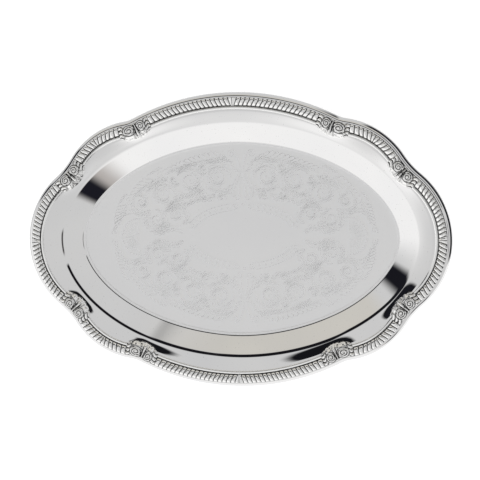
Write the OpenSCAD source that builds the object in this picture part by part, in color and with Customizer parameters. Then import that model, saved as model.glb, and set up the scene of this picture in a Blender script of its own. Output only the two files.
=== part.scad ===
// Oval serving tray with an eight-lobed rim.
// A pressed pan carries a gadroon border in eight lengths and eight cast scroll-and-shell mounts.
// The tray lies along X, rests on Z = 0 and has its origin under the middle of the floor.

/* [Overall] */
// Overall length, along X
tray_l = 470; // [390:1:570]
// Overall width, along Y
tray_w = 323; // [265:1:390]
// Thickness of the sheet that the pan is pressed from
sheet_t = 0.9; // [0.6:0.05:1.2]

/* [Outline] */
// How far an end lobe stands out beyond its two notches
end_rise = 44.5; // [35:0.5:55]
// How far a long side's lobe stands out beyond its two notches
long_rise = 29.5; // [22:0.5:36]
// Length of a corner lobe's box, from the tray's end to the side notch
corner_l = 117; // [100:1:140]
// Width of a corner lobe's box, from the tray's side to the end notch
corner_w = 82; // [68:1:98]
// How far a corner lobe swells beyond the straight line between its notches
corner_rise = 12.2; // [9:0.1:16]
// Radius of the hollow in a notch next to an end
end_notch_r = 90; // [60:1:110]
// Radius of the hollow in a notch next to a long side
side_notch_r = 30; // [20:1:40]

/* [Well] */
// Distance from the tray's end to the top of the wall
brim_inset_l = 35; // [31:0.5:42]
// Distance from the tray's side to the top of the wall
brim_inset_w = 31.5; // [29:0.5:38]
// Horizontal run of the wall, from its top to its foot
wall_run = 24.9; // [20:0.1:30]
// Height of the wall's top above the table
brim_z = 17.5; // [14:0.5:21]
// Height of the border's seat above the table
seat_z = 22; // [17:0.5:27]
// Radius where the flange rolls over into the wall
crest_r = 16; // [5:0.5:20]
// Radius at the foot of the wall
foot_r = 5; // [3:0.5:9]
// Width of the flat ledge between the wall's foot and the floor
ledge_w = 0.6; // [0.4:0.1:3]
// Height of the ledge above the floor
ledge_h = 0.3; // [0.2:0.05:1]

/* [Edge] */
// Width of the turned-down lip outside the border
lip_w = 4.8; // [4:0.1:6.5]
// Drop of the lip from the border's seat to the wire
lip_drop = 8; // [5:0.5:10]
// Radius of the core wire
wire_r = 1.15; // [0.8:0.05:1.4]

/* [Border] */
// Width from the tray's edge to the border's inner side
border_w = 18; // [16:0.5:21]
// Distance from one gadroon to the next
gadroon_pitch = 5.1; // [4:0.1:7]
// Height of a gadroon above the seat
gadroon_h = 3.3; // [2:0.1:4.5]
// How far the inner end of a gadroon leans along the edge
gadroon_slant = 3.2; // [0:0.1:5]
// Width of the reed along the border's inner side
reed_w = 3.2; // [2.4:0.1:4]

/* [Mounts] */
// Half the length of a scroll-and-shell mount, along the edge
shell_half = 17; // [14:0.5:20]
// How far a side mount sits from its notch's middle, towards the long side
shell_shift = 5.5; // [0:0.5:8]
// Height of a scroll above the seat
scroll_h = 5.2; // [3:0.1:7]
// Radius of a scroll
scroll_r = 6.2; // [4.5:0.1:7]
// How far the leaf apron reaches in over the flange
apron_reach = 5; // [3:0.1:6]

/* [Hidden] */
// Gap between the wire and the curl, and between neighbours along the border
wire_gap = 0.1;
butt_gap = 0.15;
// The wall's top and the floor are pointed ovals, drawn as superellipses with these powers
brim_power = 1.95;
floor_power = 1.86;
// Stations along a quarter of the edge, and steps in each bend of the pan's section
quarter_steps = 30;
bend_steps = 3;
curl_sweep = 240;
curl_steps = 4;

half_l = tray_l / 2;
half_w = tray_w / 2;
brim_l = half_l - brim_inset_l;
brim_w = half_w - brim_inset_w;
curl_r = wire_r + wire_gap + sheet_t;
lip_z = seat_z - lip_drop;
strip_out = lip_w + butt_gap;

// ---- Outline: a quarter of the edge as five arcs, from the end's middle to the long side's middle

function angle_of(v) = atan2(v.y, v.x);
function arc_radius(rise, half_chord) = (rise ^ 2 + half_chord ^ 2) / (2 * rise);
// Centre of an arc that touches two circles, on their outer side
function hollow_centre(ca, ra, cb, rb) =
    let (reach = norm(cb - ca),
         dir = (cb - ca) / reach,
         along = (ra ^ 2 - rb ^ 2 + reach ^ 2) / (2 * reach))
    ca + along * dir + sqrt(ra ^ 2 - along ^ 2) * [dir.y, -dir.x];

end_notch = [half_l - end_rise, half_w - corner_w];
side_notch = [half_l - corner_l, half_w - long_rise];
end_r = arc_radius(end_rise, end_notch.y);
long_r = arc_radius(long_rise, side_notch.x);
end_c = [half_l - end_r, 0];
long_c = [0, half_w - long_r];
corner_chord = norm(side_notch - end_notch);
corner_dir = (side_notch - end_notch) / corner_chord;
corner_r = arc_radius(corner_rise, corner_chord / 2);
corner_c = (end_notch + side_notch) / 2
    - (corner_r - corner_rise) * [corner_dir.y, -corner_dir.x];
end_hollow_c = hollow_centre(end_c, end_r + end_notch_r, corner_c, corner_r + end_notch_r);
side_hollow_c = hollow_centre(corner_c, corner_r + side_notch_r, long_c, long_r + side_notch_r);
turns = [0,
         angle_of(end_hollow_c - end_c),
         angle_of(end_hollow_c - corner_c),
         angle_of(side_hollow_c - corner_c),
         angle_of(side_hollow_c - long_c),
         90];
// Each arc: centre, radius, 1 for a lobe or -1 for a hollow, start angle, end angle
arcs = [[end_c, end_r, 1, turns[0], turns[1]],
        [end_hollow_c, end_notch_r, -1, turns[1] + 180, turns[2] + 180],
        [corner_c, corner_r, 1, turns[2], turns[3]],
        [side_hollow_c, side_notch_r, -1, turns[3] + 180, turns[4] + 180],
        [long_c, long_r, 1, turns[4], turns[5]]];
arc_len = [for (a = arcs) a[1] * abs(a[4] - a[3]) * PI / 180];
function length_to(k) = k == 0 ? 0 : length_to(k - 1) + arc_len[k - 1];
arc_start = [for (k = [0 : len(arcs)]) length_to(k)];
quarter_len = arc_start[len(arcs)];

function arc_at(t, k = 0) = k == len(arcs) - 1 || t <= arc_start[k + 1] ? k : arc_at(t, k + 1);
// Point at length t along the quarter, s in from the edge
function quarter_point(t, s) =
    let (k = arc_at(t),
         a = arcs[k],
         angle = a[3] + (a[4] - a[3]) * (t - arc_start[k]) / arc_len[k])
    a[0] + (a[1] - a[2] * s) * [cos(angle), sin(angle)];
// The same, carried on past either end of the quarter by mirroring
function edge_point(t, s) =
    t < 0 ? let (p = quarter_point(-t, s)) [p.x, -p.y]
    : t > quarter_len ? let (p = quarter_point(2 * quarter_len - t, s)) [-p.x, p.y]
    : quarter_point(t, s);

// ---- Stations round the whole tray

stations = 4 * quarter_steps;
// The quarter that a station is in, its signs along X and Y, and its length along the quarter
function station_signs(i) = [[1, 1], [-1, 1], [-1, -1], [1, -1]][floor(i / quarter_steps)];
function station_t(i) =
    let (part = (i % quarter_steps) / quarter_steps)
    quarter_len * (floor(i / quarter_steps) % 2 == 0 ? part : 1 - part);
function station_edge(i, s) =
    let (p = quarter_point(station_t(i), s), sign = station_signs(i))
    [p.x * sign.x, p.y * sign.y];
function signed_power(v, p) = sign(v) * abs(v) ^ p;
// Point of the well's oval that lies inset in from the top of the wall, at a station
function oval_point(i, inset) =
    let (e = station_edge(i, 0),
         angle = atan2(e.y / half_w, e.x / half_l),
         power = brim_power + (floor_power - brim_power) * inset / wall_run)
    [(brim_l - inset) * signed_power(cos(angle), 2 / power),
     (brim_w - inset) * signed_power(sin(angle), 2 / power)];

// ---- Section of the wall: a crest bend, a straight slope and a foot bend

ledge_z = sheet_t + ledge_h;
flange_slope = atan((seat_z - brim_z) / (brim_inset_w - border_w));
crest_c = [-crest_r * sin(flange_slope), brim_z - crest_r * cos(flange_slope)];
foot_c = [wall_run, ledge_z + foot_r];
bend_reach = foot_c - crest_c;
wall_slope = asin((crest_r + foot_r) / norm(bend_reach)) - angle_of(bend_reach);
// Wall points [inset, z] from the crest to the foot, on a face under the top one by depth
function wall_face(depth) = concat(
    [for (n = [0 : bend_steps])
        let (a = flange_slope + (wall_slope - flange_slope) * n / bend_steps)
        crest_c + (crest_r - depth) * [sin(a), cos(a)]],
    [for (n = [0 : bend_steps])
        let (a = wall_slope * (1 - n / bend_steps))
        foot_c - (foot_r + depth) * [sin(a), cos(a)]]);
function backwards(list) = [for (n = [len(list) - 1 : -1 : 0]) list[n]];

// ---- Section of the lip: a quarter oval, then a curl round the wire, as [s, z]

lip_bend = 90 / bend_steps;
function lip_face(depth) = [for (n = [0 : bend_steps - 1])
    [lip_w - (lip_w - depth) * sin(n * lip_bend), lip_z + (lip_drop - depth) * cos(n * lip_bend)]];
function curl_face(r) = [for (n = [0 : curl_steps])
    let (a = 180 + curl_sweep * n / curl_steps)
    [curl_r + r * cos(a), lip_z + r * sin(a)]];

floor_inset = wall_run + ledge_w + ledge_h;
function in_well(i, list) = [for (p = list) let (q = oval_point(i, p[0])) [q.x, q.y, p[1]]];
function at_edge(i, list) = [for (p = list) let (q = station_edge(i, p[0])) [q.x, q.y, p[1]]];
// The pan's section at a station, from the floor's top face round the curl to its bottom face
function pan_section(i) = concat(
    in_well(i, [[floor_inset, sheet_t], [wall_run + ledge_w, ledge_z]]),
    in_well(i, backwards(wall_face(0))),
    at_edge(i, [[border_w, seat_z]]),
    at_edge(i, lip_face(0)),
    at_edge(i, curl_face(curl_r)),
    at_edge(i, backwards(curl_face(curl_r - sheet_t))),
    at_edge(i, backwards([for (n = [1 : bend_steps - 1]) lip_face(sheet_t)[n]])),
    at_edge(i, [lip_face(sheet_t)[0], [border_w, seat_z - sheet_t]]),
    in_well(i, wall_face(sheet_t)),
    in_well(i, [[wall_run + ledge_w, ledge_z - sheet_t], [floor_inset, 0]]));

// Two triangles for the four-cornered cell a, b, c, d
function cell(a, b, c, d) = [[a, b, d], [b, c, d]];

module tray_pan() {
    size = len(pan_section(0));
    points = [for (i = [0 : stations - 1]) each pan_section(i)];
    skin = [for (i = [0 : stations - 1], j = [0 : size - 2])
        let (a = i * size + j, b = ((i + 1) % stations) * size + j)
        each cell(a, b, b + 1, a + 1)];
    floor_top = [for (i = [stations - 1 : -1 : 0]) i * size];
    floor_bottom = [for (i = [0 : stations - 1]) i * size + size - 1];
    color([0.86, 0.86, 0.87]) polyhedron(points, concat(skin, [floor_top, floor_bottom]));
}

module rim_wire() {
    sides = 6;
    points = [for (i = [0 : stations - 1])
        each at_edge(i, [for (n = [0 : sides - 1])
            let (a = 180 + 360 * n / sides)
            [curl_r + wire_r * cos(a), lip_z + wire_r * sin(a)]])];
    faces = [for (i = [0 : stations - 1], j = [0 : sides - 1])
        let (a = i * sides + j,
             b = ((i + 1) % stations) * sides + j,
             step = j == sides - 1 ? 1 - sides : 1)
        each cell(a, b, b + step, a + step)];
    color([0.62, 0.62, 0.64]) polyhedron(points, faces);
}

// ---- Gadroon border

// Section across the border: distance in from the edge, height on a rib and between two ribs
cove_gap = 0.6;
cove_h = 0.7;
rib_shoulder = 1.8;
rib_tail = 2.6;
rib_fall = 0.4;
rib_dip = 1.2;
edge_h = 0.8;
reed_h = 1.3;
reed_foot_h = 0.5;
reed_s = border_w - reed_w / 2;
cove_s = border_w - reed_w - cove_gap;
rib_out = strip_out + rib_shoulder;
rib_in = cove_s - rib_tail;
border_section = [
    [strip_out, 0, 0],
    [strip_out, edge_h, edge_h],
    [rib_out, gadroon_h, gadroon_h - rib_dip],
    [rib_in, gadroon_h - rib_fall, gadroon_h - rib_fall - rib_dip],
    [cove_s, cove_h, cove_h],
    [reed_s, reed_h, reed_h],
    [border_w, reed_foot_h, reed_foot_h],
    [border_w, 0, 0]];
// Where a gadroon's stations lie in its pitch: the valley before it, then its crest's two ends
rib_parts = [0, 0.3, 0.7];

// One length of border from t_start to t_end, with its gadroons leaning away from the middle
module gadroon_length(t_start, t_end) {
    length = t_end - t_start;
    ribs = 2 * round(length / gadroon_pitch / 2);
    pitch = length / ribs;
    size = len(border_section);
    steps = len(rib_parts);
    rings = steps * ribs + 1;
    function ring_t(n) = t_start + pitch * (floor(n / steps) + rib_parts[n % steps]);
    function lean(t, s) =
        let (from_middle = (t - (t_start + t_end) / 2) / pitch,
             from_ends = min(t - t_start, t_end - t) / pitch)
        gadroon_slant * max(-1, min(1, from_middle)) * min(1, from_ends / 2)
            * (s - strip_out) / (border_w - strip_out);
    points = [for (n = [0 : rings - 1], p = border_section)
        let (t = ring_t(n), q = edge_point(t - lean(t, p[0]), p[0]))
        [q.x, q.y, seat_z + (n % steps == 0 ? p[2] : p[1])]];
    sides = [for (i = [0 : rings - 2], j = [0 : size - 1])
        let (a = i * size + j, b = a + size, step = j == size - 1 ? 1 - size : 1)
        each cell(b, a, a + step, b + step)];
    caps = [[for (j = [size - 1 : -1 : 0]) j], [for (j = [0 : size - 1]) (rings - 1) * size + j]];
    polyhedron(points, concat(sides, caps));
}

// Where the mounts sit along the quarter
end_shell_t = (arc_start[1] + arc_start[2]) / 2;
side_shell_t = (arc_start[3] + arc_start[4]) / 2 + shell_shift;
end_stop = end_shell_t - shell_half - butt_gap / 2;
corner_from = end_shell_t + shell_half + butt_gap / 2;
corner_to = side_shell_t - shell_half - butt_gap / 2;
long_from = side_shell_t + shell_half + butt_gap / 2;

module end_length() color([0.82, 0.82, 0.83]) gadroon_length(-end_stop, end_stop);
module long_length() color([0.82, 0.82, 0.83]) gadroon_length(long_from, 2 * quarter_len - long_from);
module corner_length() color([0.82, 0.82, 0.83]) gadroon_length(corner_from, corner_to);

// ---- Scroll-and-shell mount

shell_along = 20;
shell_across = 11;
shell_edge_h = 0.7;
leaf_h = 2.6;
leaf_flute = 0.45;
leaf_count = 9;
// Share of the mount's half length from its middle to each scroll's
scroll_apart = 0.4;
// How far a scroll's rim runs out past the mount's outer side
scroll_lap = 0.4;
scroll_s = strip_out + scroll_r - scroll_lap;
// How steeply a scroll falls to its rim, and the pit in its middle
scroll_fall = 0.8;
pit_share = 0.35;
pit_depth = 0.8;
// How far outside the border the leaf's flutes meet
fan_back = 2;
scallop = 0.8;

// Height of the mount above the seat at x along and s in, with the far edge at s_in
function mount_height(x, s, s_in) =
    let (off = abs(x) - scroll_apart * shell_half,
         r = norm([off, s - scroll_s]) / scroll_r,
         pit = r < pit_share ? pit_depth : 0,
         scroll = r < 1 ? scroll_h * sqrt(1 - scroll_fall * r ^ 2) - pit : 0,
         fall = (s_in - s) / (s_in - strip_out),
         fan = atan2(x, s - strip_out + fan_back),
         leaf = shell_edge_h + (leaf_h - shell_edge_h) * sin(90 * fall)
             + leaf_flute * cos(fan * leaf_count) * (1 - fall))
    max(leaf, scroll, shell_edge_h);

module shell_mount(t_middle) {
    columns = shell_along + 1;
    rows = shell_across + 1;
    half = shell_half - butt_gap / 2;
    function s_in(part) = border_w + apron_reach * cos(90 * part) ^ 0.8
        + scallop * abs(sin(360 * part)) * (1 - abs(part));
    // The top grid, then the outer and the inner side's feet on the seat
    top = [for (i = [0 : shell_along], j = [0 : shell_across])
        let (part = 2 * i / shell_along - 1,
             far = s_in(part),
             s = strip_out + (far - strip_out) * j / shell_across,
             q = edge_point(t_middle + part * half, s))
        [q.x, q.y, seat_z + mount_height(part * half, s, far)]];
    feet = [for (j = [0, shell_across], i = [0 : shell_along])
        let (p = top[i * rows + j])
        [p.x, p.y, seat_z]];
    outer = len(top);
    inner = outer + columns;
    grid_faces = [for (i = [0 : shell_along - 1], j = [0 : shell_across - 1])
        let (a = i * rows + j, b = a + rows)
        each cell(b, a, a + 1, b + 1)];
    side_faces = [for (i = [0 : shell_along - 1])
        let (a = i * rows, b = a + rows, m = outer + i, n = inner + i)
        each concat(cell(a, b, m + 1, m),
                    cell(b + shell_across, a + shell_across, n, n + 1),
                    cell(m, m + 1, n + 1, n))];
    last = shell_along * rows;
    near_end = concat([for (j = [shell_across : -1 : 0]) j], [outer, inner]);
    far_end = concat([for (j = [0 : shell_across]) last + j],
                     [inner + shell_along, outer + shell_along]);
    polyhedron(concat(top, feet), concat(grid_faces, side_faces, [near_end, far_end]));
}

module end_shell() color([0.8, 0.8, 0.81]) shell_mount(end_shell_t);
module side_shell() color([0.8, 0.8, 0.81]) shell_mount(side_shell_t);

// ---- The pieces in place

module flip_x() mirror([1, 0, 0]) children();
module flip_y() mirror([0, 1, 0]) children();

module gadroon_end_right() end_length();
module gadroon_end_left() flip_x() end_length();
module gadroon_long_back() long_length();
module gadroon_long_front() flip_y() long_length();
module gadroon_corner_back_right() corner_length();
module gadroon_corner_back_left() flip_x() corner_length();
module gadroon_corner_front_right() flip_y() corner_length();
module gadroon_corner_front_left() flip_x() flip_y() corner_length();
module shell_end_back_right() end_shell();
module shell_end_back_left() flip_x() end_shell();
module shell_end_front_right() flip_y() end_shell();
module shell_end_front_left() flip_x() flip_y() end_shell();
module shell_side_back_right() side_shell();
module shell_side_back_left() flip_x() side_shell();
module shell_side_front_right() flip_y() side_shell();
module shell_side_front_left() flip_x() flip_y() side_shell();

tray_pan();
rim_wire();
gadroon_end_right();
gadroon_end_left();
gadroon_long_back();
gadroon_long_front();
gadroon_corner_back_right();
gadroon_corner_back_left();
gadroon_corner_front_right();
gadroon_corner_front_left();
shell_end_back_right();
shell_end_back_left();
shell_end_front_right();
shell_end_front_left();
shell_side_back_right();
shell_side_back_left();
shell_side_front_right();
shell_side_front_left();
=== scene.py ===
"""Finished looks of an oval serving tray with an eight-lobed rim.

A pressed pan with an engraved satin floor, its core wire, a gadroon border in eight lengths
and eight cast scroll-and-shell mounts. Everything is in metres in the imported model's frame.
"""
import math

import bmesh
import bpy
from mathutils import Matrix, Vector


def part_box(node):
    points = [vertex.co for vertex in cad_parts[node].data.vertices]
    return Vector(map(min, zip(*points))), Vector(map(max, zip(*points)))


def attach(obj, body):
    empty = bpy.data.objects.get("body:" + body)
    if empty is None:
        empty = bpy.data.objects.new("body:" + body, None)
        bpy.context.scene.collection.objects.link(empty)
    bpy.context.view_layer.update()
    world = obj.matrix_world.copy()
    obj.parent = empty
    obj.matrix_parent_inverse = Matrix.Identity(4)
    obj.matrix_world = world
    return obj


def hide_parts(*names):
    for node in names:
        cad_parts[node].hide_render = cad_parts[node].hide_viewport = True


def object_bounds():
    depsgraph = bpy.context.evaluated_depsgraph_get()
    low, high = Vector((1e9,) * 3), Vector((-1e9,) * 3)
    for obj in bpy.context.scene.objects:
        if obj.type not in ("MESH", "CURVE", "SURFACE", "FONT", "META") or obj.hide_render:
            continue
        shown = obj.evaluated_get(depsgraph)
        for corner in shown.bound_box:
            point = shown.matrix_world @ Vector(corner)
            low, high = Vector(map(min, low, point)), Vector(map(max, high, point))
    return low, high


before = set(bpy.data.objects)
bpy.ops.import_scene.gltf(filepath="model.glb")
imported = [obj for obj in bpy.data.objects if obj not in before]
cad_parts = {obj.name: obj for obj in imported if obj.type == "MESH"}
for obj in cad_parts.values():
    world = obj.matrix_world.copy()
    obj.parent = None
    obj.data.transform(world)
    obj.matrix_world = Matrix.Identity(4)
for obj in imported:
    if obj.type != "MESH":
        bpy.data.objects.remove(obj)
cad_low, cad_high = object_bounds()

MM = 0.001
TURN = 2 * math.pi

# ---- Sizes, in metres: the overall ones come from the frame

half_l = (cad_high.x - cad_low.x) / 2
half_w = (cad_high.y - cad_low.y) / 2
seat_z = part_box("gadroon_end_right")[0].z
mount_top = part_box("shell_end_back_right")[1].z - seat_z
sheet_t = 0.9 * MM

end_rise = 44.5 * MM
long_rise = 29.5 * MM
corner_l = 117 * MM
corner_w = 82 * MM
corner_rise = 12.2 * MM
end_notch_r = 90 * MM
side_notch_r = 30 * MM

brim_inset_l = 35 * MM
brim_inset_w = 31.5 * MM
brim_l = half_l - brim_inset_l
brim_w = half_w - brim_inset_w
brim_z = 17.5 * MM
wall_run = 24.9 * MM
crest_r = 16 * MM
foot_r = 5 * MM
ledge_w = 0.6 * MM
ledge_h = 0.3 * MM
ledge_z = sheet_t + ledge_h
floor_inset = wall_run + ledge_w + ledge_h
brim_power = 1.95
floor_power = 1.86

lip_w = 4.8 * MM
lip_drop = 8 * MM
lip_z = seat_z - lip_drop
wire_r = 1.15 * MM
wire_gap = 0.1 * MM
curl_r = wire_r + wire_gap + sheet_t
curl_sweep = math.radians(240)

border_w = 18 * MM
reed_w = 3.2 * MM
gadroon_pitch = 5.1 * MM
gadroon_h = 3.3 * MM
gadroon_slant = 3.4 * MM
butt_gap = 0.15 * MM
strip_out = lip_w + butt_gap

shell_half = 17 * MM
shell_shift = 5.5 * MM
apron_reach = 5 * MM


# ---- Outline: a quarter of the edge is five tangent arcs, mirrored into the other quarters

def arc_radius(rise, half_chord):
    return (rise ** 2 + half_chord ** 2) / (2 * rise)


def angle_of(v):
    return math.atan2(v.y, v.x)


def hollow_centre(ca, ra, cb, rb):
    """Centre of an arc that touches two circles, on their outer side."""
    reach = (cb - ca).length
    run = (cb - ca) / reach
    along = (ra ** 2 - rb ** 2 + reach ** 2) / (2 * reach)
    return ca + along * run + math.sqrt(ra ** 2 - along ** 2) * Vector((run.y, -run.x))


def edge_arcs():
    """Each arc: centre, radius, 1 for a lobe or -1 for a hollow, start angle, end angle."""
    end_notch = Vector((half_l - end_rise, half_w - corner_w))
    side_notch = Vector((half_l - corner_l, half_w - long_rise))
    end_r = arc_radius(end_rise, end_notch.y)
    long_r = arc_radius(long_rise, side_notch.x)
    end_c = Vector((half_l - end_r, 0))
    long_c = Vector((0, half_w - long_r))
    chord = (side_notch - end_notch).length
    run = (side_notch - end_notch) / chord
    corner_r = arc_radius(corner_rise, chord / 2)
    corner_c = (end_notch + side_notch) / 2 - (corner_r - corner_rise) * Vector((run.y, -run.x))
    end_hollow = hollow_centre(end_c, end_r + end_notch_r, corner_c, corner_r + end_notch_r)
    side_hollow = hollow_centre(corner_c, corner_r + side_notch_r, long_c, long_r + side_notch_r)
    turns = [
        0,
        angle_of(end_hollow - end_c),
        angle_of(end_hollow - corner_c),
        angle_of(side_hollow - corner_c),
        angle_of(side_hollow - long_c),
        math.pi / 2,
    ]
    return [
        (end_c, end_r, 1, turns[0], turns[1]),
        (end_hollow, end_notch_r, -1, turns[1] + math.pi, turns[2] + math.pi),
        (corner_c, corner_r, 1, turns[2], turns[3]),
        (side_hollow, side_notch_r, -1, turns[3] + math.pi, turns[4] + math.pi),
        (long_c, long_r, 1, turns[4], turns[5]),
    ]


ARCS = edge_arcs()
ARC_LEN = [radius * abs(end - start) for _, radius, _, start, end in ARCS]
ARC_START = [sum(ARC_LEN[:k]) for k in range(len(ARCS) + 1)]
QUARTER = ARC_START[-1]


def edge_point(t, s):
    """Point at length t round the edge from the right end's middle, s in from the edge."""
    quarter, part = divmod(t, QUARTER)
    quarter = int(quarter) % 4
    if quarter % 2:
        part = QUARTER - part
    k = max(n for n in range(len(ARCS)) if part >= ARC_START[n] or n == 0)
    centre, radius, hand, start, end = ARCS[k]
    angle = start + (end - start) * (part - ARC_START[k]) / ARC_LEN[k]
    x = centre.x + (radius - hand * s) * math.cos(angle)
    y = centre.y + (radius - hand * s) * math.sin(angle)
    return Vector((x * (1, -1, -1, 1)[quarter], y * (1, 1, -1, -1)[quarter]))


def signed_power(v, p):
    return math.copysign(abs(v) ** p, v)


def oval_point(edge, inset):
    """Point of the well's oval that lies inset in from the top of the wall, next to an edge point."""
    angle = math.atan2(edge.y / half_w, edge.x / half_l)
    power = brim_power + (floor_power - brim_power) * min(1, inset / wall_run)
    return Vector((
        (brim_l - inset) * signed_power(math.cos(angle), 2 / power),
        (brim_w - inset) * signed_power(math.sin(angle), 2 / power),
    ))


# ---- Section of the wall: a crest bend, a straight slope and a foot bend

flange_slope = math.atan((seat_z - brim_z) / (brim_inset_w - border_w))
crest_c = Vector((-crest_r * math.sin(flange_slope), brim_z - crest_r * math.cos(flange_slope)))
foot_c = Vector((wall_run, ledge_z + foot_r))
bend_reach = foot_c - crest_c
wall_slope = math.asin((crest_r + foot_r) / bend_reach.length) - angle_of(bend_reach)
bend_steps = 9


def wall_face(depth):
    """Wall points (inset, z) from the crest to the foot, on a face under the top one by depth."""
    crest = []
    foot = []
    for n in range(bend_steps + 1):
        a = flange_slope + (wall_slope - flange_slope) * n / bend_steps
        crest.append(crest_c + (crest_r - depth) * Vector((math.sin(a), math.cos(a))))
        a = wall_slope * (1 - n / bend_steps)
        foot.append(foot_c - (foot_r + depth) * Vector((math.sin(a), math.cos(a))))
    return crest + foot


def flange_z(t, s, depth=0.0):
    """Height of the flange s in from the edge, between the border and the crest of the wall."""
    edge = edge_point(t, 0)
    inset, z_crest = wall_face(depth)[0]
    crest = oval_point(edge, inset)
    rise_at = edge_point(t, border_w)
    across = (rise_at - crest).length
    u = max(0.0, 1 - (s - border_w) / across)
    rise = seat_z - depth - z_crest
    start = math.tan(flange_slope) * across
    return (z_crest + rise * (3 * u ** 2 - 2 * u ** 3) + start * (u ** 3 - 2 * u ** 2 + u)
            + rise * 0.9 * (u ** 3 - u ** 2))


# ---- Making pieces

def laid_grid(bm, along, across):
    """A new grid of quads: each vertex with its steps along and across."""
    made = bmesh.ops.create_grid(bm, x_segments=along, y_segments=across, size=1)["verts"]
    return [(v, round((v.co.x + 1) / 2 * along), round((v.co.y + 1) / 2 * across)) for v in made]


def woven(bm, along, across, place):
    """Lays a grid of quads through place(i, j); edges that meet are merged and ends are filled."""
    made = []
    for v, i, j in laid_grid(bm, along, across):
        v.co = place(i, j)
        made.append(v)
    bmesh.ops.remove_doubles(bm, verts=made, dist=1e-8)
    made = [v for v in made if v.is_valid]
    # each open edge once, in an order that is the same in every run
    open_edges = list(dict.fromkeys(e for v in made for e in v.link_edges if e.is_boundary))
    if open_edges:
        bmesh.ops.edgeloop_fill(bm, edges=open_edges)


def piece_from(bm, name, materials, replaced=(), crease=35):
    """Closes a bmesh into a finished piece that rides on the tray."""
    bmesh.ops.recalc_face_normals(bm, faces=bm.faces)
    for face in bm.faces:
        face.smooth = True
    mesh = bpy.data.meshes.new(name)
    bm.to_mesh(mesh)
    bm.free()
    mesh.set_sharp_from_angle(angle=math.radians(crease))
    for material in materials:
        mesh.materials.append(material)
    piece = bpy.data.objects.new(name, mesh)
    bpy.context.scene.collection.objects.link(piece)
    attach(piece, "root")
    if replaced:
        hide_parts(*replaced)
    return piece


def smooth_step(x):
    x = min(1.0, max(0.0, x))
    return x * x * (3 - 2 * x)


def bump_at(d, width):
    return math.exp(-(d / width) ** 2)


# ---- Finishes

def add_node(tree, kind, values=None, **settings):
    node = tree.nodes.new(kind)
    for key, value in settings.items():
        setattr(node, key, value)
    for key, value in (values or {}).items():
        if isinstance(value, bpy.types.NodeSocket):
            tree.links.new(value, node.inputs[key])
        else:
            node.inputs[key].default_value = value
    return node


def metal(name):
    """A polished metal to build a finish on: its tree, its shader and its Object coordinates."""
    material = bpy.data.materials.new(name)
    material.use_nodes = True
    tree = material.node_tree
    shader = tree.nodes["Principled BSDF"]
    shader.inputs["Metallic"].default_value = 1.0
    place = add_node(tree, "ShaderNodeTexCoord").outputs["Object"]
    return material, tree, shader, place


def noise(tree, place, scale, detail=3.0, rough=0.5, stretch=None):
    if stretch:
        place = add_node(tree, "ShaderNodeMapping", {"Vector": place, "Scale": stretch}).outputs[0]
    made = add_node(tree, "ShaderNodeTexNoise",
                    {"Vector": place, "Scale": scale, "Detail": detail, "Roughness": rough})
    return made.outputs["Fac"]


def spread(tree, value, low, high, out_low, out_high):
    made = add_node(tree, "ShaderNodeMapRange", {
        "Value": value, "From Min": low, "From Max": high, "To Min": out_low, "To Max": out_high})
    return made.outputs["Result"]


def two_tone(tree, factor, dark, light):
    made = add_node(tree, "ShaderNodeMix", {"Factor": factor}, data_type="RGBA")
    made.inputs["A"].default_value = (*dark, 1)
    made.inputs["B"].default_value = (*light, 1)
    return made.outputs["Result"]


def bright_plate():
    """Bright nickel-silver plate on pressed sheet: faint waviness, wiping marks and tiny pits."""
    material, tree, shader, place = metal("bright plate")
    drift = noise(tree, place, 14, 2)
    wiped = noise(tree, place, 60, 4, 0.6, stretch=(1, 7, 3))
    specks = noise(tree, place, 900, 2)
    tone = two_tone(tree, spread(tree, drift, 0.3, 0.7, 0, 1), (0.86, 0.86, 0.865), (0.91, 0.905, 0.9))
    pits = spread(tree, specks, 0.70, 0.76, 1.0, 0.55)
    pitted = add_node(tree, "ShaderNodeVectorMath", {0: tone, 1: pits}, operation="MULTIPLY")
    tree.links.new(pitted.outputs[0], shader.inputs["Base Color"])
    tree.links.new(spread(tree, wiped, 0.3, 0.7, 0.012, 0.035), shader.inputs["Roughness"])
    bump = add_node(tree, "ShaderNodeBump",
                    {"Height": drift, "Strength": 0.06, "Distance": 0.0006})
    tree.links.new(bump.outputs[0], shader.inputs["Normal"])
    return material


def satin_floor():
    """Satin plate: a fine even tooth that scatters the light, with faint clouds from wear."""
    material, tree, shader, place = metal("satin floor")
    clouds = noise(tree, place, 9, 3)
    tooth = noise(tree, place, 2600, 2)
    specks = noise(tree, place, 700, 2)
    tone = two_tone(tree, spread(tree, clouds, 0.3, 0.7, 0, 1), (0.92, 0.92, 0.925), (0.955, 0.952, 0.953))
    flecks = spread(tree, specks, 0.72, 0.78, 1.0, 0.7)
    flecked = add_node(tree, "ShaderNodeVectorMath", {0: tone, 1: flecks}, operation="MULTIPLY")
    tree.links.new(flecked.outputs[0], shader.inputs["Base Color"])
    tree.links.new(spread(tree, clouds, 0.3, 0.7, 0.36, 0.42), shader.inputs["Roughness"])
    bump = add_node(tree, "ShaderNodeBump",
                    {"Height": tooth, "Strength": 0.25, "Distance": 0.00005})
    tree.links.new(bump.outputs[0], shader.inputs["Normal"])
    return material


def engraved_line():
    """The graver's bright-cut lines, in a tone darker than the floor's: painted shade that stands in for
    the cut grooves.
    """
    material, tree, shader, place = metal("engraved line")
    chatter = noise(tree, place, 1200, 2)
    # darker than the satin floor: painted shade for the cut grooves, varied by chatter
    tone = two_tone(tree, spread(tree, chatter, 0.3, 0.7, 0, 1), (0.68, 0.68, 0.69), (0.84, 0.84, 0.84))
    tree.links.new(tone, shader.inputs["Base Color"])
    tree.links.new(spread(tree, chatter, 0.3, 0.7, 0.18, 0.3), shader.inputs["Roughness"])
    return material


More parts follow.
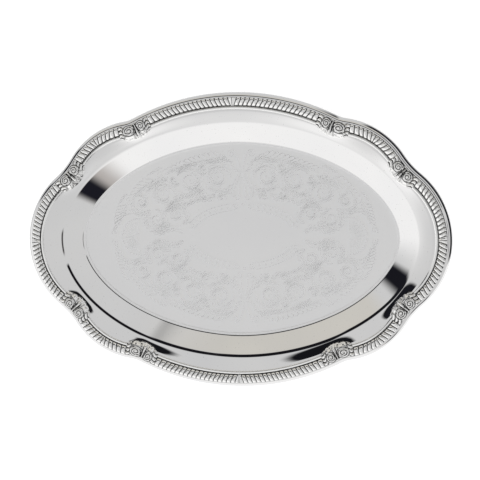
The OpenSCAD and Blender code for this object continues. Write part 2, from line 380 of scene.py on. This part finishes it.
def cast_plate(name, light, dark):
    """Plated casting: bright on its tops, darker where the hollow attribute marks it: oxide where polish
    and plate don't reach, and painted shade in its hollows and on its outer faces.
    """
    material, tree, shader, place = metal(name)
    hollow = add_node(tree, "ShaderNodeAttribute", attribute_name="hollow").outputs["Fac"]
    mottle = noise(tree, place, 420, 3)
    deep = spread(tree, hollow, 0.3, 0.8, 0, 1)
    painted_shade_and_oxide = add_node(tree, "ShaderNodeMath", {0: deep, 1: spread(tree, mottle, 0.3, 0.7, 0.75, 1.1)},
                     operation="MULTIPLY", use_clamp=True).outputs[0]
    # the dark end of this mix is painted shade in hollows and on outer faces, mixed with oxide
    tree.links.new(two_tone(tree, painted_shade_and_oxide, light, dark), shader.inputs["Base Color"])
    tree.links.new(spread(tree, painted_shade_and_oxide, 0, 1, 0.08, 0.5), shader.inputs["Roughness"])
    bump = add_node(tree, "ShaderNodeBump",
                    {"Height": mottle, "Strength": 0.3, "Distance": 0.00012})
    tree.links.new(bump.outputs[0], shader.inputs["Normal"])
    return material


def drawn_wire():
    material, tree, shader, place = metal("drawn wire")
    grain = noise(tree, place, 800, 3)
    tree.links.new(two_tone(tree, grain, (0.42, 0.42, 0.43), (0.6, 0.6, 0.61)), shader.inputs["Base Color"])
    tree.links.new(spread(tree, grain, 0.3, 0.7, 0.28, 0.45), shader.inputs["Roughness"])
    return material


# ---- The pan

PAN_STATIONS = 480
lip_steps = 6
curl_steps = 14
flange_steps = 5


def lip_face(depth):
    points = []
    for n in range(lip_steps):
        a = n * math.pi / 2 / lip_steps
        points.append((lip_w - (lip_w - depth) * math.sin(a), lip_z + (lip_drop - depth) * math.cos(a)))
    return points


def curl_face(r):
    points = []
    for n in range(curl_steps + 1):
        a = math.pi + curl_sweep * n / curl_steps
        points.append((curl_r + r * math.cos(a), lip_z + r * math.sin(a)))
    return points


def pan_rings(t):
    """The pan's section at length t, from the floor's top face round the curl to its bottom face."""
    edge = edge_point(t, 0)

    def in_well(points):
        return [(*oval_point(edge, inset), z) for inset, z in points]

    def at_edge(points):
        return [(*edge_point(t, s), z) for s, z in points]

    def flange(depth):
        crest = oval_point(edge, wall_face(depth)[0][0])
        rim = edge_point(t, border_w)
        points = []
        for n in range(1, flange_steps):
            u = n / flange_steps
            place = crest + (rim - crest) * u
            s = border_w + (rim - crest).length * (1 - u)
            points.append((*place, flange_z(t, s, depth)))
        return points

    soft = 0.15 * MM
    floor_margin = 1.2 * MM
    seat_margin = 1 * MM
    top = in_well([(floor_inset + floor_margin, sheet_t), (floor_inset, sheet_t),
                   (floor_inset - soft, sheet_t + soft * 0.6),
                   (wall_run + ledge_w + soft, ledge_z - soft * 0.6), (wall_run + ledge_w, ledge_z)])
    top += in_well(reversed(wall_face(0)))
    top += flange(0)
    top += at_edge([(border_w, seat_z), (strip_out + seat_margin, seat_z)])
    top += at_edge(lip_face(0))
    top += at_edge(curl_face(curl_r))
    under = in_well([(floor_inset, 0), (wall_run + ledge_w, ledge_z - sheet_t)])
    under += in_well(reversed(wall_face(sheet_t)))
    under += flange(sheet_t)
    under += at_edge([(border_w, seat_z - sheet_t)])
    under += at_edge(lip_face(sheet_t))
    under += at_edge(curl_face(curl_r - sheet_t)[1:])
    return top + under[::-1]


def build_pan(plate, satin):
    rings = [pan_rings(4 * QUARTER * i / PAN_STATIONS) for i in range(PAN_STATIONS)]
    bm = bmesh.new()
    woven(bm, PAN_STATIONS, len(rings[0]) - 1, lambda i, j: rings[i % PAN_STATIONS][j])
    bm.normal_update()
    # the satin covers the floor, the ledge and the lowest part of the foot bend
    satin_top = ledge_z + 0.12 * MM
    satin_margin = 2 * MM
    satin_l = brim_l - wall_run + satin_margin
    satin_w = brim_w - wall_run + satin_margin
    for face in bm.faces:
        centre = face.calc_center_median()
        edge_r = math.hypot(centre.x / satin_l, centre.y / satin_w)
        if abs(face.normal.z) > 0.5 and sheet_t * 0.9 < centre.z < satin_top and edge_r < 1.02:
            face.material_index = 1
    big = [face for face in bm.faces if len(face.verts) > 4]
    bmesh.ops.poke(bm, faces=big)
    return piece_from(bm, "finished_tray_pan", [plate, satin], ["tray_pan"], crease=28)


def build_wire(steel):
    sides = 12
    bm = bmesh.new()

    def place(i, j):
        a = TURN * (j % sides) / sides
        p = edge_point(4 * QUARTER * (i % PAN_STATIONS) / PAN_STATIONS, curl_r + wire_r * math.cos(a))
        return (*p, lip_z + wire_r * math.sin(a))

    woven(bm, PAN_STATIONS, sides, place)
    return piece_from(bm, "finished_rim_wire", [steel], ["rim_wire"])


# ---- Gadroon border

edge_h = 0.8 * MM
cove_s = border_w - reed_w - 0.6 * MM
reed_s = border_w - reed_w / 2
# Across the border: distance in from the edge, and the height of a rib's crest there
BORDER_SECTION = [
    (strip_out, 0), (strip_out, edge_h), (strip_out + 0.5 * MM, 2.1 * MM), (strip_out + 1.5 * MM, 3.0 * MM),
    (strip_out + 3 * MM, gadroon_h), (strip_out + 5 * MM, 3.2 * MM), (strip_out + 7 * MM, 2.7 * MM),
    (cove_s - 1.0 * MM, 1.7 * MM), (cove_s - 0.2 * MM, 0.5 * MM), (cove_s + 0.5 * MM, 0.4 * MM),
    (reed_s - 1.0 * MM, 1.15 * MM), (reed_s, 1.4 * MM), (reed_s + 1.0 * MM, 1.1 * MM),
    (border_w, 0.3 * MM), (border_w, 0)]
RIB_PARTS = [0, 0.13, 0.3, 0.7, 0.87]
rib_dip = 1.7 * MM
mid_leaf = 4.6 * MM
# A length shorter than this on each side of its middle has no leaf
leaf_from = 60 * MM


def rib_swell(part):
    """How full a gadroon is, from 0 in the groove between two to 1 on its crest."""
    return (1 - abs(2 * part - 1) ** 4) ** 0.9


def build_gadroon_length(node, middle, half, plate):
    """One length of border, with its gadroons leaning away from the leaf at its middle."""
    ribs = 2 * round(half / gadroon_pitch)
    pitch = 2 * half / ribs
    steps = len(RIB_PARTS)
    stations = ribs * steps
    has_leaf = half > leaf_from
    bm = bmesh.new()
    mark = bm.verts.layers.float.new("hollow")
    leaf_h = 3.4 * MM
    vein_w = 0.7 * MM
    vein_h = 0.7 * MM

    def place(i, j):
        part = RIB_PARTS[i % steps]
        t = -half + pitch * (i // steps + part)
        s, h = BORDER_SECTION[j % len(BORDER_SECTION)]
        inward = (s - strip_out) / (border_w - strip_out)
        on_rib = h > 0 and strip_out < s < cove_s - 0.5 * MM
        swell = rib_swell(part)
        # hollow marks painted shade, mixed with oxide, between the ribs, in the cove and in the leaf's vein
        hollow = 0.0
        if on_rib:
            narrowing = 1 - 0.35 * smooth_step(inward * 1.5)
            swell = max(0.0, 1 - (1 - swell) / max(0.2, narrowing))
            hollow = 1 - swell
            h -= min(h * 0.75, rib_dip) * (1 - swell)
        elif abs(s - cove_s) < 0.9 * MM:
            hollow = 1.0
        # the outer face is marked dark too: painted shade
        elif s <= strip_out and h > 0:
            hollow = 0.75
        if has_leaf and abs(t) < mid_leaf and h > 0 and s < cove_s + 0.2 * MM:
            fall = 1 - (t / mid_leaf) ** 2
            vein = bump_at(t, vein_w)
            leaf = leaf_h * fall ** 0.5 * (1 - 0.55 * inward) - vein_h * vein
            blend = smooth_step(fall * 2.5)
            h = h + (max(leaf, edge_h) - h) * blend * (1 if s > strip_out else 0)
            hollow = hollow * (1 - blend) + blend * 0.8 * vein
        from_ends = min(1.0, (half - abs(t)) / pitch / 2)
        lean = gadroon_slant * max(-1.0, min(1.0, t / pitch)) * from_ends
        lean *= smooth_step(inward * 1.15) * (0.75 if inward > 0.72 else 1)
        q = edge_point(middle + t - lean, s)
        return (*q, seat_z + h), hollow

    for v, i, j in laid_grid(bm, stations, len(BORDER_SECTION)):
        v.co, v[mark] = place(i, j)
    close_up(bm)
    return piece_from(bm, "finished_" + node, [plate], [node], crease=50)


def close_up(bm):
    bmesh.ops.remove_doubles(bm, verts=bm.verts, dist=1e-8)
    bmesh.ops.holes_fill(bm, edges=[e for e in bm.edges if e.is_boundary], sides=0)


# ---- Scroll-and-shell mounts

scroll_x = 6.4 * MM
scroll_v = 6.3 * MM
scroll_r = 5.6 * MM


def mount_relief(x, v, depth):
    """Height and hollow of the casting at x along and v in from its outer side; depth is its reach."""
    # hollow marks painted shade, mixed with oxide, in flutes, grooves and creases, and painted shade along
    # the outer side
    side = abs(x)
    far = depth - v
    fan = math.atan2(x, v + 3 * MM)
    # the leaf behind: fluted, falling to its scalloped edge
    flute = math.cos(fan * 16)
    leaf = 0.6 * MM + 1.9 * MM * smooth_step(far / (6 * MM))
    leaf += 0.42 * MM * flute * smooth_step(far / (3 * MM))
    leaf *= 0.55 + 0.45 * smooth_step(v / (2.5 * MM))
    hollow = 0.55 * max(0.0, -flute) * smooth_step(far / (2 * MM))
    # the leaf tips at both sides curl over the gadroons
    tip = (side - 11.2 * MM) / (5.6 * MM)
    if tip > 0:
        ridge = math.cos((v / MM + 2.2 * math.sin(tip * 2.2)) * 1.55)
        leaf = (2.9 - 1.3 * tip) * MM + 0.5 * MM * ridge
        leaf *= smooth_step(far / (2 * MM)) * 0.6 + 0.4
        hollow = 0.8 * max(0.0, -ridge) + 0.2 * smooth_step(tip * 1.5)
    height = leaf
    # a bead row inside the scallops
    bead = math.cos(fan * 32) * bump_at(far - 2.0 * MM, 0.9 * MM)
    if side < 11 * MM and v > 9 * MM:
        height += 0.5 * MM * max(0.0, bead)
        hollow = max(hollow, 0.6 * max(0.0, -bead))
    # the two scrolls, each a spiral roll round a pit and an eye
    dx = side - scroll_x
    dv = v - scroll_v
    r = math.hypot(dx, dv)
    if r < scroll_r:
        dome = math.sqrt(max(0.0, 1 - (r / scroll_r) ** 2))
        boss = 1.5 * MM + (mount_top - 1.6 * MM) * dome ** 0.8
        arm = (r / (2.1 * MM) - math.atan2(dv, -dx) / TURN) % 1
        groove = bump_at(min(arm, 1 - arm), 0.22)
        eye = bump_at(r, 0.9 * MM)
        groove *= (1 - eye) * smooth_step((scroll_r - r) / (0.8 * MM))
        boss -= 1.5 * MM * groove * smooth_step(r / (1.2 * MM))
        height = max(height, boss)
        if height == boss:
            hollow = 0.95 * groove
    # a dark ring round each scroll's foot: painted shade in the crease
    rim = bump_at(r - scroll_r * 1.02, 0.65 * MM)
    hollow = max(hollow, 0.9 * rim)
    # the bud between the scrolls
    bud = 3.1 * MM * bump_at(x, 1.25 * MM) * smooth_step(far / (4 * MM))
    if bud > height:
        height = bud
        hollow = 0.25
    split = bump_at(side - 1.6 * MM, 0.5 * MM) * smooth_step(v / (2 * MM)) * smooth_step(far / (6 * MM))
    height -= 1.0 * MM * split
    hollow = max(hollow, split)
    # the outer side is marked dark: painted shade
    outer = smooth_step(v / (0.7 * MM))
    height = edge_h * (1 - outer) + max(height, 0.4 * MM) * outer
    return min(height, mount_top), max(hollow, 0.7 * (1 - outer))


def build_mount(node, middle, plate):
    along = 96
    across = 56
    half = shell_half - butt_gap / 2
    sunk = 0.02 * MM
    bm = bmesh.new()
    mark = bm.verts.layers.float.new("hollow")

    def apron_s(part):
        swell = apron_reach * max(0.0, math.cos(math.pi / 2 * part)) ** 0.8
        return border_w + swell + 0.8 * MM * abs(math.sin(TURN * 1.5 * part)) * (1 - abs(part))

    # the relief's rows, then a foot row on either side and the row that closes them underneath
    around = across + 3
    for v, i, j in laid_grid(bm, along, around):
        j %= around
        part = 2 * i / along - 1
        x = part * half
        far = apron_s(part)
        depth = far - strip_out
        row = min(max(j - 1, 0), across)
        s = strip_out + depth * row / across
        ground = seat_z
        if s > border_w:
            ground = flange_z(middle + x, s) - sunk
        height, hollow = mount_relief(x, s - strip_out, depth)
        if j == 0 or j == across + 2:
            height = 0.0
        v.co = (*edge_point(middle + x, s), ground + height)
        v[mark] = hollow
    close_up(bm)
    return piece_from(bm, "finished_" + node, [plate], [node], crease=60)


# ---- The engraving on the floor, drawn in mm in one quarter and mirrored

line_w = 0.45 * MM
line_h = 0.06 * MM
# The engraving sits a little off the middle of the floor
engraving_middle = Vector((4.5 * MM, 2.5 * MM, 0))


def oval(a, b, start, end, power=2.0, steps=24):
    points = []
    for n in range(steps + 1):
        angle = math.radians(start + (end - start) * n / steps)
        points.append((a * signed_power(math.cos(angle), 2 / power),
                       b * signed_power(math.sin(angle), 2 / power)))
    return points


def spiral(cx, cy, r, start, turns, inner=0.18, steps=26):
    """A volute from radius r at angle start, winding inward by turns (negative goes clockwise)."""
    points = []
    for n in range(steps + 1):
        f = n / steps
        radius = r * (1 - (1 - inner) * f ** 0.8)
        angle = math.radians(start + 360 * turns * f)
        points.append((cx + radius * math.cos(angle), cy + radius * math.sin(angle)))
    return points


def flowing(*knots, steps=8):
    """A smooth curve through the knots."""
    points = []
    k = [knots[0], *knots, knots[-1]]
    for n in range(1, len(k) - 2):
        for m in range(steps):
            f = m / steps
            points.append(tuple(
                0.5 * (2 * k[n][c] + (k[n + 1][c] - k[n - 1][c]) * f
                       + (2 * k[n - 1][c] - 5 * k[n][c] + 4 * k[n + 1][c] - k[n + 2][c]) * f * f
                       + (3 * k[n][c] - k[n - 1][c] - 3 * k[n + 1][c] + k[n + 2][c]) * f ** 3)
                for c in (0, 1)))
    return points + [knots[-1]]


def on_path(path, f):
    """Point and unit direction at the share f of a path's length."""
    place = min(max(f, 0.0), 0.9999) * (len(path) - 1)
    n = int(place)
    (xa, ya), (xb, yb) = path[n], path[n + 1]
    reach = math.hypot(xb - xa, yb - ya) or 1.0
    part = place - n
    return (xa + (xb - xa) * part, ya + (yb - ya) * part), ((xb - xa) / reach, (yb - ya) / reach)


def frond(path, width, teeth, side, first=0.0, last=1.0):
    """A leafy margin along one side of a stem: hooked lobes, with a vein from every notch."""
    def beside(f, reach, lead):
        (x, y), (ux, uy) = on_path(path, first + (last - first) * f)
        return (x + ux * lead - uy * side * reach, y + uy * lead + ux * side * reach)

    notch = 0.42
    hook = 0.45
    taper = 0.55
    margin = []
    per_tooth = 4
    for n in range(teeth * per_tooth + 1):
        f = n / (teeth * per_tooth)
        lobe = n % per_tooth / per_tooth
        full = min(1.0, 5 * f + 0.25) * (1 - taper * f)
        reach = width * full * (notch + (1 - notch) * math.sin(math.pi * lobe))
        margin.append(beside(f, reach, width * hook * lobe))
    veins = []
    for k in range(1, teeth):
        f = k / teeth
        full = width * (1 - taper * f)
        veins.append([beside(f - back / teeth, full * share, 0)
                      for back, share in ((0, notch), (0.35, 0.26), (0.9, 0.1))])
    return [margin, *veins]


def volute(cx, cy, r, start, turns, width, teeth):
    """A C-scroll: a double stem rolled up round an eye, leafy outside and leafy within."""
    hand = math.copysign(1, turns)
    stem = spiral(cx, cy, r, start, turns, steps=30)
    strokes = [stem, spiral(cx, cy, r - 1.5, start + 12 * hand, turns * 0.85, inner=0.3, steps=24)]
    strokes += frond(stem, width, teeth, -hand, 0.0, 0.52)
    strokes += frond(stem, r * 0.36, teeth, hand, 0.04, 0.5)
    strokes.append(ring_of(cx, cy, 0.9))
    return strokes


def ring_of(x, y, r):
    return [(x + px, y + py) for px, py in oval(r, r, 0, 360, steps=8)]


def bead_on(a, b, angle, r):
    """A bead centred on the oval of half axes a and b."""
    return ring_of(*oval(a, b, angle, angle, steps=1)[0], r)


def cartouche():
    """Two bands of beads round the plain middle, each ending in small rolls."""
    strokes = [oval(57.5, 29.8, 17, 81), oval(65.5, 36.9, 22, 79)]
    for n in range(8):
        strokes.append(bead_on(61.8, 33.4, 25 + 7 * n, 0.9))
    strokes.append(spiral(57.6, 12.6, 4.1, 100, -1.4))
    strokes.append(spiral(8.4, 32.7, 4.1, -20, 1.4))
    strokes.append(ring_of(0, 35.4, 1.4))
    return strokes


def spade():
    """The plain spade between the cartouche and the long side, and the lips that roll out over it."""
    neck = flowing((10, 43.5), (8.6, 52), (4.6, 62), (0.7, 71))
    lip = flowing((0.9, 71), (2.4, 79), (4.6, 87), (8.2, 94.6), (13.2, 95.2))
    strokes = [neck, lip, flowing((2.0, 43), (3.6, 50), (2.6, 58), (0.4, 66))]
    strokes.append(spiral(6.0, 42.6, 4.2, 0, 1.4))
    strokes.append(spiral(11.2, 91.4, 4.4, 60, -1.4))
    strokes += frond(neck, 5.0, 6, -1)
    strokes += frond(flowing((3, 72), (8, 78), (11, 84), (20, 88)), 4.6, 6, -1)
    strokes += volute(23.5, 42.6, 4.8, 200, -1.2, 3.2, 4)
    return strokes


def wreath():
    """The chain of C-scrolls that fills the floor between the cartouche and the leafy edge."""
    strokes = []
    rolls = [
        (27, 66, 14.5, 185, -1.75, 4.6, 9), (58, 62, 15.5, 20, 1.75, 4.8, 10),
        (89, 47.5, 14, 195, -1.75, 4.6, 9), (97, 19, 11, 80, 1.6, 4.2, 8),
        (74, 25, 9, 150, -1.5, 3.8, 6), (44, 46, 6, 110, -1.4, 3.4, 5),
        (114, 39, 7.5, 60, 1.5, 3.4, 6), (43, 75, 5.5, 240, 1.4, 3, 5),
        (76, 62, 5.5, 200, 1.4, 3, 5),
    ]
    for roll in rolls:
        strokes += volute(*roll)
    stems = [
        flowing((13, 57), (16, 50), (24, 50), (33, 52), (41, 56)),
        flowing((14, 84), (22, 85), (32, 83), (40, 82)),
        flowing((50, 80), (58, 79), (66, 76), (73, 70)),
        flowing((30, 47), (38, 42), (50, 41), (60, 37), (66, 32)),
        flowing((66, 44), (74, 42), (82, 34), (88, 26)),
        flowing((84, 64), (94, 62), (102, 56), (107, 49)),
        flowing((110, 28), (118, 27), (124, 32), (124, 40)),
        flowing((68, 4), (76, 9), (85, 8), (93, 4), (101, 5)),
        flowing((68, 14), (62, 20), (66, 28), (76, 36), (88, 36)),
        flowing((47, 53), (56, 47), (64, 45), (72, 49)),
        flowing((82, 15), (88, 12), (96, 7), (106, 8)),
        flowing((64, 38), (72, 37), (80, 33), (85, 28)),
        flowing((104, 30), (108, 24), (109, 14), (106, 11)),
    ]
    for stem in stems:
        strokes.append(stem)
        strokes += frond(stem, 4.2, 7, 1)
        strokes += frond(stem, 3.6, 7, -1)
    return strokes


def leafy_edge():
    """Overlapping hooked leaves along the outside, broken by two beaded rolls."""
    strokes = []
    for start, end in ((83, 53), (46, 29), (24, 9)):
        rim = oval(143, 88, start, end, steps=30)
        strokes.append(rim)
        strokes += frond(rim, 9.5, max(4, round((start - end) / 2.3)), 1)
        strokes += frond(rim, 4.0, max(4, round((start - end) / 2.8)), -1)
    for a in (50, 26.5):
        x, y = oval(142, 88, a, a, steps=1)[0]
        strokes.append(spiral(x, y, 5.2, a + 60, -1.35))
        strokes += frond(oval(150, 94, a + 4, a - 5, steps=10), 4, 4, 1)
    for n in range(5):
        strokes.append(bead_on(138, 83, 45.5 + 1.8 * n, 0.8))
    return strokes


def shell():
    """The ribbed shell at each end and the rolls that hold it."""
    strokes = []
    root_x = 117
    rib_turn = 9.3
    for n in range(10):
        a = math.radians(3 + rib_turn * n)
        strokes.append([(root_x + r * math.cos(a), r * 1.05 * math.sin(a)) for r in (6, 10, 14, 17.5)])
        b = math.radians(7.6 + rib_turn * n)
        strokes.append([(root_x + 18.5 * math.cos(b) + x, 19.4 * math.sin(b) + y)
                        for x, y in oval(1.6, 1.6, math.degrees(b) - 95, math.degrees(b) + 95, steps=5)])
    strokes.append([(root_x + x, y) for x, y in oval(4.2, 4.4, 0, 90, steps=6)])
    strokes.append(spiral(112, 21.5, 5.4, -60, -1.4))
    hold = flowing((root_x, 22), (126, 26), (136, 22), (142, 12), (146, 4))
    strokes.append(hold)
    strokes += frond(hold, 6.0, 8, 1)
    strokes.append(spiral(144.6, 6.2, 4.6, -60, 1.3))
    return strokes


def build_engraving(line):
    """Every stroke is a low three-sided ridge that tapers to both ends."""
    bm = bmesh.new()
    strokes = cartouche() + spade() + wreath() + leafy_edge() + shell()
    base = sheet_t - 0.01 * MM
    for stroke in strokes:
        points = [Vector((x * MM, y * MM)) for x, y in stroke]
        count = len(points) - 1

        def place(i, j):
            before = points[max(i - 1, 0)]
            after = points[min(i + 1, count)]
            run = (after - before).normalized()
            swell = 0.35 + 0.65 * math.sin(math.pi * (i + 0.15) / (count + 0.3)) ** 0.5
            side = (0.5, -0.5, 0)[j % 3] * line_w * swell
            z = base if j % 3 < 2 else base + 0.01 * MM + line_h * swell
            return (points[i].x - run.y * side, points[i].y + run.x * side, z)

        woven(bm, count, 3, place)
    for mirrored in ((-1, 1, 1), (1, -1, 1)):
        copied = bmesh.ops.duplicate(bm, geom=bm.verts[:] + bm.edges[:] + bm.faces[:])["geom"]
        copied = [part for part in copied if isinstance(part, bmesh.types.BMVert)]
        bmesh.ops.scale(bm, verts=copied, vec=mirrored)
    bmesh.ops.translate(bm, verts=bm.verts, vec=engraving_middle)
    return piece_from(bm, "floor_engraving", [line], crease=5)


# ---- The studio

def build_floor():
    material = bpy.data.materials.new("pale floor")
    material.use_nodes = True
    shader = material.node_tree.nodes["Principled BSDF"]
    shader.inputs["Base Color"].default_value = (0.93, 0.93, 0.93, 1)
    shader.inputs["Roughness"].default_value = 0.9
    shader.inputs["Emission Color"].default_value = (1, 1, 1, 1)
    shader.inputs["Emission Strength"].default_value = 0.62
    bm = bmesh.new()
    bmesh.ops.create_circle(bm, cap_ends=True, radius=6, segments=64)
    bmesh.ops.translate(bm, verts=bm.verts, vec=(0, 0, -0.2 * MM))
    mesh = bpy.data.meshes.new("studio_floor")
    bm.to_mesh(mesh)
    bm.free()
    mesh.materials.append(material)
    floor = bpy.data.objects.new("studio_floor", mesh)
    bpy.context.scene.collection.objects.link(floor)
    floor.visible_glossy = False


# Cards round the tray: azimuth, half width, elevation, half height and soft edge in degrees, then colour
CARDS = [
    # the big soft box in front and to the left
    (-125, 60, 19, 28, 15, (0.99, 0.985, 0.98)),
    # light coming up from the table in front
    (-70, 90, -50, 45, 12, (1.0, 1.0, 1.0)),
    # a low warm white wall behind
    (98, 44, 14, 18, 4, (0.64, 0.62, 0.575)),
    # the dark gap behind, between that wall and the ceiling
    (50, 32, 48, 9.5, 2, (0.008, 0.008, 0.010)),
    (90, 10, 44.5, 11, 2, (0.008, 0.008, 0.010)),
    (115, 17, 43, 11.5, 2, (0.008, 0.008, 0.010)),
    (145, 16, 38, 10.5, 2, (0.008, 0.008, 0.010)),
    # a flag behind the left end
    (156.5, 6.3, 20, 27, 3, (0.010, 0.010, 0.014)),
    # a flag before the right end, with its stand beside it
    (-62, 9, 26, 10, 5, (0.50, 0.47, 0.45)),
    (-58, 6, 22, 13, 3, (0.012, 0.012, 0.018)),
    # a slim gap at the right end, and a low dark stand behind the right corner
    (-8, 14, 48, 6, 4, (0.05, 0.045, 0.045)),
    (25, 48, -22, 26, 5, (0.02, 0.02, 0.025)),
]


def build_surroundings():
    """A white tent with the cards round it, as a world that the metal reflects."""
    world = bpy.data.worlds.new("white tent")
    bpy.context.scene.world = world
    world.use_nodes = True
    tree = world.node_tree
    background = tree.nodes["Background"]
    way = add_node(tree, "ShaderNodeTexCoord").outputs["Generated"]
    xyz = add_node(tree, "ShaderNodeSeparateXYZ", {0: way})
    azimuth = add_node(tree, "ShaderNodeMath", {0: xyz.outputs[1], 1: xyz.outputs[0]},
                       operation="ARCTAN2").outputs[0]
    elevation = add_node(tree, "ShaderNodeMath", {0: xyz.outputs[2]}, operation="ARCSINE").outputs[0]
    sky = spread(tree, elevation, 0.1, 1.4, 0.66, 0.655)
    colour = two_tone(tree, sky, (0, 0, 0), (1, 1, 1))
    for card_azimuth, half_width, card_elevation, half_height, soft, card_colour in CARDS:
        turned = add_node(tree, "ShaderNodeMath", {0: azimuth, 1: math.radians(card_azimuth)},
                          operation="SUBTRACT").outputs[0]
        wrapped = add_node(tree, "ShaderNodeMath", {0: turned, 1: -math.pi, 2: math.pi},
                           operation="WRAP").outputs[0]
        inside = None
        for value, middle, half in ((wrapped, 0, half_width), (elevation, card_elevation, half_height)):
            away = add_node(tree, "ShaderNodeMath", {0: value, 1: math.radians(middle)},
                            operation="SUBTRACT").outputs[0]
            size = add_node(tree, "ShaderNodeMath", {0: away}, operation="ABSOLUTE").outputs[0]
            edge = add_node(tree, "ShaderNodeMapRange", {
                "Value": size, "From Min": math.radians(half + soft), "From Max": math.radians(half - soft),
                "To Min": 0.0, "To Max": 1.0}, interpolation_type="SMOOTHSTEP").outputs[0]
            if inside is not None:
                edge = add_node(tree, "ShaderNodeMath", {0: edge, 1: inside},
                                operation="MULTIPLY").outputs[0]
            inside = edge
        made = add_node(tree, "ShaderNodeMix", {"Factor": inside, "A": colour}, data_type="RGBA")
        made.inputs["B"].default_value = (*card_colour, 1)
        colour = made.outputs["Result"]
    tree.links.new(colour, background.inputs["Color"])
    background.inputs["Strength"].default_value = 1.0


def build_camera():
    tilt_x = 11.0
    tilt_y = 6.5
    roll = -1.5
    distance = 2.2
    target = Vector((2.6 * MM, 0, 12 * MM))
    back = Vector((math.tan(math.radians(tilt_x)), math.tan(math.radians(tilt_y)), 1)).normalized()
    camera = bpy.data.objects.new("camera", bpy.data.cameras.new("camera"))
    bpy.context.scene.collection.objects.link(camera)
    camera.data.lens = 151
    camera.data.sensor_width = 36
    camera.location = target + back * distance
    up = Vector((-math.sin(math.radians(roll)), math.cos(math.radians(roll)), 0))
    right = up.cross(back).normalized()
    up = back.cross(right)
    camera.rotation_mode = "QUATERNION"
    camera.rotation_quaternion = Matrix((right, up, back)).transposed().to_quaternion()
    camera.data.clip_start = 0.05
    camera.data.clip_end = 50
    bpy.context.scene.camera = camera


# ---- The whole tray

plate = bright_plate()
build_pan(plate, satin_floor())
build_wire(drawn_wire())
build_engraving(engraved_line())

polished = (0.985, 0.983, 0.975)
# the dark colour of the castings: painted shade in hollows and on outer faces, mixed with oxide
shade_and_oxide_dark = (0.02, 0.02, 0.02)
border = cast_plate("border plate", polished, shade_and_oxide_dark)
mounts = cast_plate("mount plate", polished, shade_and_oxide_dark)
end_shell_t = (ARC_START[1] + ARC_START[2]) / 2
side_shell_t = (ARC_START[3] + ARC_START[4]) / 2 + shell_shift
gap = shell_half + butt_gap / 2
corner_t = (end_shell_t + side_shell_t) / 2
corner_half = (side_shell_t - end_shell_t) / 2 - gap
end_half = end_shell_t - gap
long_half = QUARTER - side_shell_t - gap

build_gadroon_length("gadroon_end_right", 0, end_half, border)
build_gadroon_length("gadroon_long_back", QUARTER, long_half, border)
build_gadroon_length("gadroon_end_left", 2 * QUARTER, end_half, border)
build_gadroon_length("gadroon_long_front", 3 * QUARTER, long_half, border)
# Each quarter starts at an end and runs to a long side, or back again
for quarters, hand, corner in ((0, 1, "back_right"), (2, -1, "back_left"),
                               (2, 1, "front_left"), (4, -1, "front_right")):
    start = quarters * QUARTER
    build_gadroon_length("gadroon_corner_" + corner, start + hand * corner_t, corner_half, border)
    build_mount("shell_end_" + corner, start + hand * end_shell_t, mounts)
    build_mount("shell_side_" + corner, start + hand * side_shell_t, mounts)

build_floor()
build_surroundings()
build_camera()
bpy.context.scene.view_settings.view_transform = "Standard"
